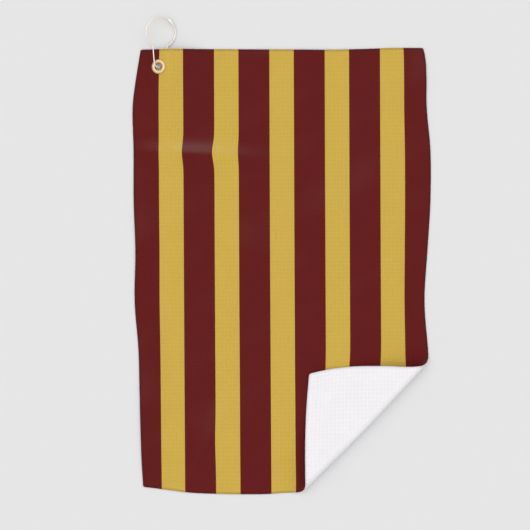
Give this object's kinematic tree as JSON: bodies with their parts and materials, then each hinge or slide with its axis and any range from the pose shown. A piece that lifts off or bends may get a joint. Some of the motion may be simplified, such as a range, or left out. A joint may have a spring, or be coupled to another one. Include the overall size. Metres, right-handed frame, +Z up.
{
  "type": "golf towel",
  "caption": "Striped waffle-weave golf towel lying flat with one corner turned back, with a metal grommet and a pear-shaped spring-gate ring for clipping it to a bag.",
  "frame": {"origin": "on the surface the towel lies on, under the middle of the whole object's bounding box", "axes": "+X to the right across the towel's face, +Y along the towel towards the grommet and ring, +Z up out of the printed face"},
  "size_m": [0.4089, 0.6548, 0.0185],
  "materials": {
    "waffle_cloth": "microfibre waffle weave, gold stripes on maroon on the face, white back",
    "edge_thread": "matte overlock thread, printed with the face and white behind",
    "grommet_brass": "polished gold-plated brass",
    "light_gold": "polished light gold plating",
    "spring_steel": "bright drawn wire"
  },
  "bodies": {
    "towel": {"towel_cloth": "waffle_cloth", "edge_stitching": "edge_thread", "grommet_eyelet": "grommet_brass", "grommet_washer": "grommet_brass"},
    "ring": {"ring_body": "light_gold", "gate_pin": "light_gold", "gate_spring": "spring_steel"},
    "gate": {"ring_gate": "light_gold"}
  },
  "joints": [
    {"name": "ring_roll", "type": "hinge", "parent": "towel", "child": "ring", "pos_m": [-0.1689, 0.2589, 0.0052], "axis": [0.0555, 0.9964, 0.064], "range_deg": [0, 100]},
    {"name": "gate_hinge", "type": "hinge", "parent": "ring", "child": "gate", "pos_m": [-0.15275, 0.32109, 0.00487], "axis": [-0.3217, 0.0785, -0.9436], "range_deg": [0, 30], "stiffness_Nm_per_rad": 0.03, "springref_deg": -28.65, "deforming": ["gate_spring"]}
  ]
}
